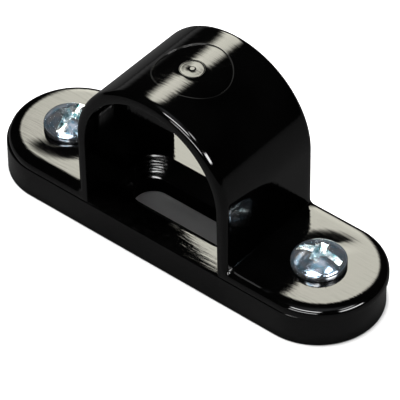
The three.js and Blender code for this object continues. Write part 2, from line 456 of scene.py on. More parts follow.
def ringed_row(radius, step, z):
    """A row of the countersink. The rings fade out before the straight walls begin."""
    plain = stadium_row(SLOT_TRAVEL / 2, radius, z)
    ringed = stadium_row(SLOT_TRAVEL / 2, radius + step, z - step)
    row = []
    for i, (a, b) in enumerate(zip(plain, ringed)):
        turn = i % (END_STEPS + 1) / END_STEPS
        fade = min(1.0, min(turn, 1 - turn) / RING_FADE)
        row.append(a.lerp(b, fade))
    return row


def slot_rows():
    sink_depth = SINK_HALF - SLOT_HALF
    profile = [
        (SLOT_HALF + SLOT_BREAK + OVERSHOOT, 0, -OVERSHOOT),
        (SLOT_HALF, 0, SLOT_BREAK),
        (SLOT_HALF, 0, BAR_TOP - sink_depth),
    ]
    for i in range(1, SINK_RINGS * RING_STEPS):
        along = i / (SINK_RINGS * RING_STEPS)
        step = RING_DEPTHS[i // RING_STEPS] * math.sin(math.tau * i / RING_STEPS)
        profile.append((SLOT_HALF + sink_depth * along, step, BAR_TOP - sink_depth * (1 - along)))
    profile.append((SINK_HALF + OVERSHOOT, 0, BAR_TOP + OVERSHOOT))
    return [ringed_row(radius, step, z) for radius, step, z in profile]


bar = loft("spacer_bar", bar_rows())
cut(bar, loft("slot_cutter", slot_rows()))

# %% Pockets for the inserts
POCKET_GAP = 0.15 * MM
ROUND_STEPS = 64


def round_row(centre, radius, z):
    row = []
    for i in range(ROUND_STEPS):
        angle = math.tau * i / ROUND_STEPS
        row.append(Vector((centre.x + radius * math.cos(angle), centre.y + radius * math.sin(angle), z)))
    return row


for side in ("left", "right"):
    insert_low, insert_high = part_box("insert_" + side)
    centre = (insert_low + insert_high) / 2
    radius = (insert_high.x - insert_low.x) / 2 + POCKET_GAP
    levels = [(radius, insert_low.z), (radius, BAR_TOP - POCKET_GAP), (radius + POCKET_GAP, BAR_TOP),
              (radius + POCKET_GAP, BAR_TOP + OVERSHOOT)]
    cut(bar, loft("pocket_cutter", [round_row(centre, r, z) for r, z in levels]))
print("bar faces after the cuts", len(bar.data.polygons))

# %% [markdown]
# ## Saddle
# The saddle is one strip of plastic that follows a path: along a foot, up a small fillet, up the leg, over
# the arch and down again. A cross-section is carried along that path, and a polar fan closes each half-round
# foot. Subdividing a rough cage would be quicker to write, but it would round the flats and bend every
# reflection, so the rows are worked out exactly.

# %% The path of the strip
EDGE_RADIUS = 1 * MM
EDGE_STEPS = 8
RIM_RADIUS = 0.15 * MM
RIM_STEPS = 3
FILLET = 0.3 * MM
FILLET_STEPS = 6
ARCH_STEPS = 60
LEG_STEPS = 6
FOOT_STEPS = 8


def saddle_path():
    """Half of the strip, from an end's centre to the crown: outer point, outer normal, inner point, inner
    normal, all as (x, z) from the saddle's middle."""
    floor_z = saddle_low.z
    fillet_x, fillet_z = ARCH_RADIUS + FILLET, FOOT_TOP + FILLET
    path = []
    for i in range(FOOT_STEPS):
        x = END_OFFSET + (fillet_x - END_OFFSET) * i / FOOT_STEPS
        path.append(((x, FOOT_TOP), (0, 1), (x, floor_z), (0, -1)))
    for i in range(FILLET_STEPS + 1):
        turn = i / FILLET_STEPS
        angle = math.radians(-90 - 90 * turn)
        aim_x, aim_z = math.cos(angle), math.sin(angle)
        outer = (fillet_x + FILLET * aim_x, fillet_z + FILLET * aim_z)
        if turn < 0.5:
            inner = (fillet_x + (PASSAGE_RADIUS - fillet_x) * turn * 2, floor_z)
            inner_normal = (0, -1)
        elif turn > 0.5:
            inner = (PASSAGE_RADIUS, floor_z + (fillet_z - floor_z) * (turn * 2 - 1))
            inner_normal = (-1, 0)
        else:
            inner = (PASSAGE_RADIUS, floor_z)
            inner_normal = (-1, -1)
        path.append((outer, (-aim_x, -aim_z), inner, inner_normal))
    for i in range(1, LEG_STEPS):
        z = fillet_z + (ARCH_CENTRE - fillet_z) * i / LEG_STEPS
        path.append(((ARCH_RADIUS, z), (1, 0), (PASSAGE_RADIUS, z), (-1, 0)))
    for i in range(ARCH_STEPS + 1):
        angle = math.radians(90) * i / ARCH_STEPS
        c, s = math.cos(angle), math.sin(angle)
        outer = (ARCH_RADIUS * c, ARCH_CENTRE + ARCH_RADIUS * s)
        inner = (PASSAGE_RADIUS * c, ARCH_CENTRE + PASSAGE_RADIUS * s)
        path.append((outer, (c, s), inner, (-c, -s)))
    return path


half_path = saddle_path()
mirrored_half = [
    ((-outer[0], outer[1]), (-normal[0], normal[1]), (-inner[0], inner[1]), (-turn[0], turn[1]))
    for outer, normal, inner, turn in reversed(half_path[:-1])
]
strip_path = half_path + mirrored_half
print("sections along the saddle", len(strip_path))

# %% The cross-section
SHOULDER_WIDTH = 2.0 * MM
FLAT_HALF = END_RADIUS - SHOULDER_WIDTH
PATCH_HALF = 7 * MM
PATCH_COLUMNS = 14
SHOULDER_STEPS = 5
FOOT_TILT = math.radians(12)
ARCH_TILT = math.radians(1.5)


def half_section(tilt):
    """From the middle of the outer face over the edge to the middle of the inner face: (y, how far in from
    the outer face or None, how far in from the inner face or None)."""
    points = [(PATCH_HALF * 2 * i / PATCH_COLUMNS, 0.0, None) for i in range(PATCH_COLUMNS // 2 + 1)]
    shoulder = END_RADIUS - FLAT_HALF - EDGE_RADIUS * (1 - math.sin(tilt))
    drop = math.tan(tilt) * shoulder / 2
    for i in range(SHOULDER_STEPS):
        share = i / SHOULDER_STEPS
        points.append((FLAT_HALF + shoulder * share, drop * share ** 2, None))
    middle_y = END_RADIUS - EDGE_RADIUS
    middle_depth = drop + EDGE_RADIUS * math.cos(tilt)
    for i in range(EDGE_STEPS + 1):
        angle = tilt + (math.radians(90) - tilt) * i / EDGE_STEPS
        y = middle_y + EDGE_RADIUS * math.sin(angle)
        points.append((y, middle_depth - EDGE_RADIUS * math.cos(angle), None))
    for angle in quarter(RIM_STEPS):
        y = END_RADIUS - RIM_RADIUS * (1 - math.cos(angle))
        points.append((y, None, RIM_RADIUS * (1 - math.sin(angle))))
    points.append((0.0, None, 0.0))
    return points


def place(section, point):
    (ox, oz), (nx, nz), (ix, iz), (mx, mz) = section
    y, outer_depth, inner_depth = point
    if outer_depth is not None:
        return Vector((SADDLE_MIDDLE_X + ox - nx * outer_depth, y, oz - nz * outer_depth))
    return Vector((SADDLE_MIDDLE_X + ix - mx * inner_depth, y, iz - mz * inner_depth))


def whole_section(section):
    lift = min(1.0, max(0.0, (section[0][1] - FOOT_TOP) / (ARCH_CENTRE - FOOT_TOP)))
    far_side = half_section(FOOT_TILT + (ARCH_TILT - FOOT_TILT) * lift)
    near_side = [(-y, outer, inner) for y, outer, inner in far_side[1:-1]]
    return [place(section, point) for point in far_side + near_side[::-1]]

# %% [markdown]
# The crown carries a shallow round medallion. Its rim is the one place where the reflection of the panel is
# broken on purpose, so it needs rings of faces that follow the circle. A square window is left open in the
# strip, and a polar patch is sewn into it. What is inside is this notebook's own: a bead, and the nub that is
# left where the plastic flowed in.

# %% The medallion's relief
MEDALLION_RADIUS = 5.95 * MM
MEDALLION_DEPTH = 0.16 * MM
RIM_WIDTH = 0.07 * MM
BEAD_RADIUS = 1.9 * MM
BEAD_WIDTH = 0.2 * MM
BEAD_HEIGHT = 0.05 * MM
NUB_RADIUS = 0.6 * MM
NUB_TOP = 0.6
NUB_HEIGHT = 0.06 * MM
PATCH_ANGLE = 30
RIM_RINGS = 6
BEAD_RINGS = 10
NUB_RINGS = 5
NUB_RING_STEP = 0.1
RINGS_OUTSIDE = (0.5 * MM, 0.1 * MM)
RINGS_TO_BEAD = (5.2 * MM, 4.6 * MM, 4 * MM, 3.4 * MM, 2.8 * MM)
RINGS_TO_NUB = (1.5 * MM, 1.1 * MM)
SMALLEST_RING = 0.25 * MM


def blend(value, low, high):
    t = min(1.0, max(0.0, (value - low) / (high - low)))
    return t * t * (3 - 2 * t)


def relief(radius):
    """How far the crown is sunk at this distance from the medallion's centre."""
    sunk = MEDALLION_DEPTH * (1 - blend(radius, MEDALLION_RADIUS - RIM_WIDTH, MEDALLION_RADIUS))
    bead = BEAD_HEIGHT * (1 - blend(abs(radius - BEAD_RADIUS), 0, BEAD_WIDTH))
    nub = NUB_HEIGHT * (1 - blend(radius, NUB_RADIUS * NUB_TOP, NUB_RADIUS))
    return sunk - bead - nub


def ring_radii():
    """Rings from the rim inwards, close together where the relief changes."""
    radii = [MEDALLION_RADIUS + gap for gap in RINGS_OUTSIDE]
    radii += [MEDALLION_RADIUS - RIM_WIDTH * i / RIM_RINGS for i in range(RIM_RINGS + 1)]
    radii += [MEDALLION_RADIUS - RIM_WIDTH - RINGS_OUTSIDE[-1], *RINGS_TO_BEAD]
    radii += [BEAD_RADIUS + BEAD_WIDTH * (1 - 2 * i / BEAD_RINGS) for i in range(BEAD_RINGS + 1)]
    radii += RINGS_TO_NUB
    radii += [NUB_RADIUS * (1 - NUB_RING_STEP * i) for i in range(NUB_RINGS)]
    return radii + [SMALLEST_RING]


# %% Build the saddle
FAN_STEPS = 64
SHRINK_STEPS = 10
ANGLE_SLACK = 1e-6


def fan_foot(built, row, side):
    """Closes a foot with a half-turn of the section about the end's centre."""
    centre_x = SADDLE_MIDDLE_X + side * END_OFFSET
    far_side = half_section(FOOT_TILT)
    count = len(far_side)
    start = [row[0]] + [row[-i] for i in range(1, count - 1)] + [row[count - 1]]
    previous = start
    for i in range(1, FAN_STEPS + 1):
        angle = math.radians(-90) + math.pi * i / FAN_STEPS
        current = [row[0]]
        for k in range(1, count - 1):
            radius = far_side[k][0]
            height = place(strip_path[0 if side > 0 else -1], far_side[k]).z
            if i == FAN_STEPS:
                current.append(row[k])
            else:
                x = centre_x + side * radius * math.cos(angle)
                current.append(built.verts.new((x, radius * math.sin(angle), height)))
        current.append(row[count - 1])
        bridge(built, previous, current, closed=False)
        previous = current


def in_window(section):
    (ox, oz), (nx, nz), _, _ = section
    return oz > ARCH_CENTRE and nz > math.cos(math.radians(PATCH_ANGLE)) - ANGLE_SLACK


def build_saddle():
    built = bmesh.new()
    rows = [[built.verts.new(point) for point in whole_section(section)] for section in strip_path]
    total = len(rows[0])
    middle = PATCH_COLUMNS // 2
    window = set(range(middle)) | set(range(total - middle, total))
    for (row_a, path_a), (row_b, path_b) in zip(zip(rows, strip_path), zip(rows[1:], strip_path[1:])):
        open_here = in_window(path_a) and in_window(path_b)
        for k in range(total):
            if open_here and k in window:
                continue
            j = (k + 1) % total
            built.faces.new((row_a[k], row_a[j], row_b[j], row_b[k]))
    fan_foot(built, rows[0], 1)
    fan_foot(built, rows[-1], -1)
    sew_medallion(built, [row for row, section in zip(rows, strip_path) if in_window(section)], middle)
    return link_piece("saddle_moulding", built)


def sew_medallion(built, rows, middle):
    """Fills the window between these rows with rings that shrink from its square edge to the centre."""
    def column(row, k):
        return row[k] if k >= 0 else row[len(row) + k]

    edge = [column(rows[0], k) for k in range(-middle, middle)]
    edge += [column(row, middle) for row in rows[:-1]]
    edge += [column(rows[-1], k) for k in range(middle, -middle, -1)]
    edge += [column(row, -middle) for row in rows[:0:-1]]
    outer_ring = ring_radii()[0]
    plan = []
    for corner in edge:
        offset = Vector((corner.co.x - SADDLE_MIDDLE_X, corner.co.y))
        plan.append((offset, offset.normalized()))
    previous = edge
    for step in range(1, SHRINK_STEPS):
        share = step / SHRINK_STEPS
        flat_points = [offset.lerp(aim * outer_ring, share) for offset, aim in plan]
        previous = sew_ring(built, previous, flat_points)
    for radius in ring_radii():
        previous = sew_ring(built, previous, [aim * radius for _, aim in plan])
    built.faces.new(previous)


def sew_ring(built, previous, flat_points):
    ring = []
    for flat_point in flat_points:
        surface = ARCH_RADIUS - relief(flat_point.length)
        z = ARCH_CENTRE + math.sqrt(surface ** 2 - flat_point.x ** 2)
        ring.append(built.verts.new((SADDLE_MIDDLE_X + flat_point.x, flat_point.y, z)))
    bridge(built, previous, ring)
    return ring


saddle = build_saddle()

# %% Cut the screw holes
SCREW_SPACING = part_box("screw_right")[0].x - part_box("screw_left")[0].x
SADDLE_HOLE = 2.7 * MM
HOLE_CHAMFER = 0.2 * MM


def screw_place(side, z):
    return Vector((SADDLE_MIDDLE_X + side * SCREW_SPACING / 2, 0, z))


for side in (-1, 1):
    levels = [(SADDLE_HOLE, saddle_low.z - OVERSHOOT), (SADDLE_HOLE, FOOT_TOP - HOLE_CHAMFER),
              (SADDLE_HOLE + HOLE_CHAMFER + OVERSHOOT, FOOT_TOP + OVERSHOOT)]
    cut(saddle, loft("hole_cutter", [round_row(screw_place(side, z), r, z) for r, z in levels]))
print("saddle faces after the cuts", len(saddle.data.polygons))

# %% [markdown]
# ## Screws
# Pan-head machine screws with a slot over a cross recess, rolled thread, bright zinc plate. The head and the
# shank are one turned profile. The thread is a real helix: each row round the shank is pushed out by its own
# share of a turn. The recess is cut, then its edges are eased by a narrow bevel, because plated edges are
# never knife-sharp and their glints are what tells us that this is metal.

# %% Thread and head
THREAD_PITCH = 0.7 * MM
THREAD_CREST = 2 * MM
THREAD_ROOT = 1.62 * MM
THREAD_FLAT = 0.12
TIP_CHAMFER = 0.25 * MM
TIP_PLAIN = 0.3 * MM
TIP_FADE = 0.9 * MM
NECK_LENGTH = 0.5 * MM
NECK_FLARE = 0.1 * MM
HEAD_SIDE = 1.0 * MM
HEAD_CHAMFER = 0.12 * MM
SHOULDER_SOFT = 0.2 * MM
DOME_STEPS = 16
SHANK_STEPS = 60
ROWS_PER_TURN = 10


def thread_height(phase):
    """A 60 degree thread form with a narrow crest and root: 0 at the root, 1 at the crest."""
    saw = abs((phase % 1.0) * 2 - 1)
    return min(1.0, max(0.0, (saw - THREAD_FLAT) / (1 - 2 * THREAD_FLAT)))


def dome_radius(head_radius, top):
    """The radius of the ball that the head's dome is a part of."""
    rise = top - FOOT_TOP - HEAD_SIDE
    return (head_radius ** 2 + rise ** 2) / (2 * rise)


def build_screw(name, node_name):
    low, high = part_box(node_name)
    axis = Vector(((low.x + high.x) / 2, (low.y + high.y) / 2, 0))
    head_radius = (high.x - low.x) / 2
    tip, neck, seat = low.z, FOOT_TOP - NECK_LENGTH, FOOT_TOP
    built = bmesh.new()

    def ring(radius_at, z):
        made = []
        for i in range(SHANK_STEPS):
            angle = math.tau * i / SHANK_STEPS
            r = radius_at(i / SHANK_STEPS)
            made.append(built.verts.new((axis.x + r * math.cos(angle), axis.y + r * math.sin(angle), z)))
        return made

    rows = [
        ring(lambda turn: THREAD_ROOT - TIP_CHAMFER, tip),
        ring(lambda turn: THREAD_ROOT, tip + TIP_CHAMFER),
    ]
    count = int((neck - tip) / THREAD_PITCH * ROWS_PER_TURN)
    for k in range(2, count):
        z = tip + (neck - tip) * k / count
        if z < tip + TIP_PLAIN:
            continue
        fade = min(1.0, (z - tip) / TIP_FADE, (neck - z) / NECK_LENGTH)
        depth = (THREAD_CREST - THREAD_ROOT) * fade
        rows.append(ring(lambda turn: THREAD_ROOT + depth * thread_height(z / THREAD_PITCH - turn), z))
    rows.append(ring(lambda turn: THREAD_ROOT, neck))
    rows.append(ring(lambda turn: THREAD_ROOT + NECK_FLARE, seat))
    dome = dome_radius(head_radius, high.z)
    shoulder = math.asin(head_radius / dome)
    profile = [
        (head_radius - HEAD_CHAMFER, seat),
        (head_radius, seat + HEAD_CHAMFER),
        (head_radius, seat + HEAD_SIDE - SHOULDER_SOFT),
        (head_radius - 0.25 * SHOULDER_SOFT, seat + HEAD_SIDE - 0.1 * SHOULDER_SOFT),
    ]
    for i in range(1, DOME_STEPS):
        angle = shoulder * (1 - i / DOME_STEPS)
        profile.append((dome * math.sin(angle), high.z - dome + dome * math.cos(angle)))
    for radius, z in profile:
        rows.append(ring(lambda turn: radius, z))
    for row_a, row_b in zip(rows, rows[1:]):
        bridge(built, row_a, row_b)
    built.faces.new(rows[0])
    built.faces.new(rows[-1])
    return link_piece(name, built), axis, high.z


# %% [markdown]
# The recess is two cutters. The first is the slot, right across the head. The second is the cross: four
# wings that narrow downwards to a blunt point, as the driver does.

# %% Slot and cross
HEAD_SLOT_HALF = 0.55 * MM
HEAD_SLOT_REACH = 6 * MM
HEAD_SLOT_DEPTH = 1.15 * MM
HEAD_SLOT_DRAFT = 0.12 * MM
CROSS_DEPTH = 2.2 * MM
CROSS_LEVELS = [
    # height from the head's top, wing reach, wing half width, half width of the core between two wings
    (-CROSS_DEPTH, 0.55 * MM, 0.3 * MM, 0.42 * MM),
    (-CROSS_DEPTH * 0.85, 0.9 * MM, 0.42 * MM, 0.6 * MM),
    (0.3 * MM, 2.35 * MM, 0.62 * MM, 1.0 * MM),
]
CORE_CORNER = 0.45


def head_slot_rows(top):
    rows = []
    for z, grow in ((top - HEAD_SLOT_DEPTH, 0.0), (top + OVERSHOOT, HEAD_SLOT_DRAFT)):
        x, y = HEAD_SLOT_REACH + grow, HEAD_SLOT_HALF + grow
        rows.append([Vector(p) for p in ((-x, -y, z), (x, -y, z), (x, y, z), (-x, y, z))])
    return rows


def cross_rows(top):
    rows = []
    for level, reach, half, core in CROSS_LEVELS:
        corner = half + (core - half) * CORE_CORNER
        row = []
        for quarter_turn in range(4):
            turn = Matrix.Rotation(math.radians(90) * quarter_turn, 3, "Z")
            for x, y in ((reach, -half), (reach, half), (core, corner), (corner, core)):
                row.append(turn @ Vector((x, y, top + level)))
        rows.append(row)
    return rows


def cut_recess(screw, axis, top, turn):
    for cutter in (loft("slot_cutter", head_slot_rows(top)), loft("cross_cutter", cross_rows(top))):
        cutter.matrix_world = Matrix.Translation(axis) @ Matrix.Rotation(math.radians(turn), 4, "Z")
        cut(screw, cutter)


# %% Make the two screws
EASED_WIDTH = 0.05 * MM
EASED_ANGLE = math.radians(35)
SCREW_TURNS = {"left": 101, "right": 11}


def ease_edges(piece):
    bevel = piece.modifiers.new("eased_edges", "BEVEL")
    bevel.width = EASED_WIDTH
    bevel.segments = 3
    bevel.limit_method = "ANGLE"
    bevel.angle_limit = EASED_ANGLE


screws = {}
for side, turn in SCREW_TURNS.items():
    screw, axis, top = build_screw("pan_head_screw_" + side, "screw_" + side)
    cut_recess(screw, axis, top, turn)
    ease_edges(screw)
    screws[side] = screw
    print(screw.name, "faces", len(screw.data.polygons))

# %% [markdown]
# ## Inserts
# Each screw bites into a brass sleeve moulded into the bar. Outside, straight knurling and a groove lock it
# in the plastic. Inside is the same thread as on the screw, opened by a hair so that the two never touch.

# %% Knurled sleeves
KNURL_TEETH = 30
KNURL_DEPTH = 0.14 * MM
INSERT_STEPS = 120
SLEEVE_CHAMFER = 0.3 * MM
GROOVE_DEPTH = 0.3 * MM
OUTSIDE = [
    # share of the length, depth of the groove
    (0.03, 0), (0.36, 0), (0.38, GROOVE_DEPTH), (0.62, GROOVE_DEPTH), (0.64, 0), (0.97, 0),
]
BORE_CREST = 2.06 * MM
BORE_ROOT = 2.4 * MM
BORE_STEPS = 48
BORE_FADE = 0.5 * MM
BORE_PHASE = 0.5


def build_insert(name, node_name):
    low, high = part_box(node_name)
    axis = (low + high) / 2
    outer = (high.x - low.x) / 2
    length = high.z - low.z
    built = bmesh.new()
    columns = []
    for i in range(INSERT_STEPS):
        turn = i / INSERT_STEPS
        knurl = KNURL_DEPTH * (0.5 - 0.5 * math.cos(math.tau * turn * KNURL_TEETH))
        profile = [(outer - SLEEVE_CHAMFER, 0.0)]
        for share, depth in OUTSIDE:
            profile.append((outer - depth - (0 if depth else knurl), share * length))
        profile.append((outer - SLEEVE_CHAMFER, length))
        for k in range(BORE_STEPS + 1):
            z = length * (1 - k / BORE_STEPS)
            fade = min(1.0, z / BORE_FADE, (length - z) / BORE_FADE)
            depth = 1 - fade * (1 - thread_height((low.z + z) / THREAD_PITCH - turn + BORE_PHASE))
            profile.append((BORE_CREST + (BORE_ROOT - BORE_CREST) * depth, z))
        angle = math.tau * turn
        columns.append([
            built.verts.new((axis.x + r * math.cos(angle), axis.y + r * math.sin(angle), low.z + z))
            for r, z in profile
        ])
    for column_a, column_b in zip(columns, columns[1:] + columns[:1]):
        bridge(built, column_a, column_b)
    return link_piece(name, built)


inserts = {}
for side in ("left", "right"):
    inserts[side] = build_insert("threaded_insert_" + side, "insert_" + side)
    print(inserts[side].name, "faces", len(inserts[side].data.polygons))

# %% [markdown]
# ## Surface effects
# Four effects are made once and placed in the finishes. Ripple is the faint waviness of a moulded or rolled
# skin. Hairlines are the fine scratches of polishing and handling. Bright edges is a mask of convex edges,
# where handling polishes plastic and thins plate. A dent is a slight rise or fall of a flat on one side of a
# point, as a screw leaves it in the plastic that it pulls down.

# %% Ripple
CLOUD_RANGE = (0.35, 0.65)


def object_place(group):
    return node(group, "ShaderNodeTexCoord").outputs["Object"]


def noise(group, place_at, scale, detail):
    return node(group, "ShaderNodeTexNoise", {"Vector": place_at, "Scale": scale, "Detail": detail}).outputs


def ripple_group():
    group, given, result = new_group(
        "skin_ripple",
        [("Wave Scale", FLOAT, 120.0), ("Peel Scale", FLOAT, 1200.0), ("Peel Share", FLOAT, 0.2)],
        [("Height", FLOAT), ("Cloud", FLOAT)],
    )
    place_at = object_place(group)
    wave = noise(group, place_at, given["Wave Scale"], 1.0)[0]
    peel = noise(group, place_at, given["Peel Scale"], 2.0)[0]
    fine = math_node(group, "MULTIPLY", peel, given["Peel Share"])
    group.links.new(math_node(group, "ADD", wave, fine), result.inputs["Height"])
    group.links.new(ramp(group, wave, *CLOUD_RANGE), result.inputs["Cloud"])
    return group


# %% Hairlines
WARP_SCALE = 150.0
WARP_REACH = 0.0012
PATCH_SCALE = 300.0
LINE_RANGE = (0.52, 0.6)
PATCH_START = 0.72
PATCH_FULL = 0.75
COVERAGE_PULL = 0.4


def hairline_group():
    group, given, result = new_group(
        "hairlines",
        [("Stretch", VECTOR, (1, 1, 1)), ("Scale", FLOAT, 1.0), ("Coverage", FLOAT, 0.5)],
        [("Mask", FLOAT), ("Height", FLOAT)],
    )
    place_at = object_place(group)
    warp = noise(group, place_at, WARP_SCALE, 1.0)["Color"]
    moved = vector_node(group, "ADD", place_at, vector_node(group, "SCALE", warp, WARP_REACH)[0])[0]
    pulled = vector_node(group, "MULTIPLY", moved, given["Stretch"])[0]
    lines = node(group, "ShaderNodeTexNoise", {
        "Vector": pulled, "Scale": given["Scale"], "Detail": 3.0, "Roughness": 0.6,
    }).outputs[0]
    patches = noise(group, place_at, PATCH_SCALE, 2.0)[0]
    thin = ramp(group, lines, *LINE_RANGE)
    lowered = math_node(group, "MULTIPLY", given["Coverage"], COVERAGE_PULL)
    patch_start = math_node(group, "SUBTRACT", PATCH_START, lowered)
    where = ramp(group, patches, patch_start, PATCH_FULL)
    group.links.new(math_node(group, "MULTIPLY", thin, where), result.inputs["Mask"])
    group.links.new(lines, result.inputs["Height"])
    return group


# %% Bright edges
BREAK_RANGE = (0.35, 0.6)


def edge_group():
    group, given, result = new_group(
        "bright_edges",
        [("Start", FLOAT, 0.51), ("Full", FLOAT, 0.56), ("Break Up", FLOAT, 900.0)],
        [("Mask", FLOAT)],
    )
    point = node(group, "ShaderNodeNewGeometry").outputs["Pointiness"]
    edge = ramp(group, point, given["Start"], given["Full"])
    speckle = noise(group, object_place(group), given["Break Up"], 2.0)[0]
    broken = ramp(group, speckle, *BREAK_RANGE)
    group.links.new(math_node(group, "MULTIPLY", edge, broken), result.inputs["Mask"])
    return group


# %% Dents round the screws
SIDE_START = 0.4
SIDE_FULL = 1.4


def dent_group():
    group, given, result = new_group(
        "round_dent",
        [("Centre", VECTOR, None), ("Aim", VECTOR, None), ("Inner", FLOAT, 0.004), ("Outer", FLOAT, 0.007)],
        [("Height", FLOAT)],
    )
    offset = vector_node(group, "SUBTRACT", object_place(group), given["Centre"])[0]
    distance = vector_node(group, "LENGTH", offset)["Value"]
    along = vector_node(group, "DOT_PRODUCT", offset, given["Aim"])["Value"]
    height = ramp(group, distance, given["Inner"], given["Outer"], 1.0, 0.0)
    side_start = math_node(group, "MULTIPLY", given["Inner"], SIDE_START)
    side_full = math_node(group, "MULTIPLY", given["Inner"], SIDE_FULL)
    this_side = ramp(group, along, side_start, side_full)
    group.links.new(math_node(group, "MULTIPLY", height, this_side), result.inputs["Height"])
    return group


# %% Build the four effects
skin_ripple = ripple_group()
hairlines = hairline_group()
bright_edges = edge_group()
round_dent = dent_group()
print("effects", [effect.name for effect in (skin_ripple, hairlines, bright_edges, round_dent)])

# %% [markdown]
# ## Black gloss plastic
# The moulding is nearly a black mirror. Its look is all in how the mirror is imperfect: a slow ripple that
# bends reflections, hairlines left by polishing the mould, worn edges, and the feet's slight rise or fall
# beside the screws. Scratches fade out where the skin turns to the front or the back.

# %% Material helpers
def new_material(name):
    material = bpy.data.materials.new(name)
    material.use_nodes = True
    return material, material.node_tree, material.node_tree.nodes["Principled BSDF"]


def blend_colours(tree, amount, first, second):
    made = node(tree, "ShaderNodeMixRGB", {"Fac": amount, "Color1": first, "Color2": second})
    return made.outputs["Color"]


def add_share(tree, base, mask, share):
    return math_node(tree, "ADD", base, math_node(tree, "MULTIPLY", mask, share))


def bump(tree, height, distance, strength=1.0, under=None):
    inputs = {"Height": height, "Distance": distance, "Strength": strength}
    if under is not None:
        inputs["Normal"] = under
    return node(tree, "ShaderNodeBump", inputs).outputs[0]


# %% Plastic
BLACK = (0.0002, 0.0002, 0.0002, 1)
BLACK_CLOUD = (0.0005, 0.0005, 0.0005, 1)
BLACK_WORN = (0.003, 0.003, 0.003, 1)
# grey for the painted highlight on the slope round the medallion
BLACK_PAINTED_SHEEN = (0.025, 0.025, 0.024, 1)
WORN_SHARE = 0.35
CLOUD_ROUGHNESS = 0.02
LINE_ROUGHNESS = 0.1
SCRATCHED_TILT = (0.08, 0.4)


def black_plastic(name, stretch, ripple_height, roughness=0.045, scratch_depth=0.014 * MM,
                  painted_sheen=0.0, dents=()):
    """Painted sheen is how far the skin is painted towards grey in the ripple's clouds, a painted highlight.
    A dent is (centre, towards, height, inner radius, outer radius)."""
    material, tree, shader = new_material(name)
    ripple = use_group(tree, skin_ripple, {"Wave Scale": 110.0, "Peel Scale": 1500.0, "Peel Share": 0.04})
    lines = use_group(tree, hairlines, {"Stretch": stretch, "Scale": 1.0, "Coverage": 0.6})
    edges = use_group(tree, bright_edges, {"Start": 0.505, "Full": 0.54})
    colour = blend_colours(tree, ripple["Cloud"], BLACK, BLACK_CLOUD)
    colour = blend_colours(tree, math_node(tree, "MULTIPLY", edges["Mask"], WORN_SHARE), colour, BLACK_WORN)
    # painted highlight: the skin is painted towards grey in the ripple's clouds
    if painted_sheen:
        sheen_share = math_node(tree, "MULTIPLY", ripple["Cloud"], painted_sheen)
        colour = blend_colours(tree, sheen_share, colour, BLACK_PAINTED_SHEEN)
    tree.links.new(colour, shader.inputs["Base Color"])
    rough = add_share(tree, roughness, ripple["Cloud"], CLOUD_ROUGHNESS)
    rough = add_share(tree, rough, lines["Mask"], LINE_ROUGHNESS)
    tree.links.new(rough, shader.inputs["Roughness"])
    skin = bump(tree, ripple["Height"], ripple_height)
    for centre, aim, height, inner, outer in dents:
        shape = {"Centre": centre, "Aim": aim, "Inner": inner, "Outer": outer}
        skin = bump(tree, use_group(tree, round_dent, shape)["Height"], height, under=skin)
    facing = node(tree, "ShaderNodeSeparateXYZ", {0: node(tree, "ShaderNodeTexCoord").outputs["Normal"]})
    on_flats = ramp(tree, math_node(tree, "ABSOLUTE", facing.outputs["Y"]), *SCRATCHED_TILT, 1.0, 0.0)
    skin = bump(tree, lines["Height"], scratch_depth, on_flats, skin)
    tree.links.new(skin, shader.inputs["Normal"])
    return material


# %% The four black finishes
DENT_REACH = (3.2 * MM, 8.0 * MM)
SCREW_DENTS = [
    # the left foot swells in front of its screw, and the right foot sinks behind its own
    (screw_place(-1, FOOT_TOP), Vector((0.7, -0.71, 0)), 0.34 * MM, *DENT_REACH),
    (screw_place(1, FOOT_TOP), Vector((-0.75, 0.66, 0)), -0.3 * MM, *DENT_REACH),
]
SKIN_RIPPLE = 0.004 * MM
SINK_RIPPLE = 0.002 * MM
SINK_SCRATCH = 0.001 * MM
bar_plastic = black_plastic("bar_plastic", (120, 2200, 2200), SKIN_RIPPLE)
saddle_plastic = black_plastic("saddle_plastic", (120, 2200, 120), SKIN_RIPPLE, dents=SCREW_DENTS)
sink_plastic = black_plastic(
    "sink_plastic", (120, 120, 120), SINK_RIPPLE, roughness=0.15, scratch_depth=SINK_SCRATCH
)
# the slope round the medallion is painted grey, a painted highlight in place of the light line that a panel's
# reflection draws on it
rim_plastic = black_plastic("rim_plastic", (120, 2200, 120), SKIN_RIPPLE, painted_sheen=0.8)
print("black finishes", [made.name for made in (bar_plastic, saddle_plastic, sink_plastic, rim_plastic)])

# %% [markdown]
# ## Bright zinc and brass
# Zinc plate with a clear blue passivate: a pale, cold metal with faint teal clouds, brightest where the plate
# is thin on the edges. Brass for the inserts is warmer and duller, with fine turning lines.

# %% Metals
ZINC_METALLIC = 0.95
ZINC_EDGE = (0.86, 0.88, 0.9, 1)
ZINC_RIPPLE = 0.018 * MM
ZINC_SCRATCH = 0.01 * MM
BRASS_DARK = (0.62, 0.42, 0.16, 1)
BRASS_LIGHT = (0.72, 0.53, 0.24, 1)
BRASS_EDGE = (0.9, 0.74, 0.42, 1)
BRASS_ROUGHNESS = 0.24
BRASS_SCRATCH = 0.004 * MM


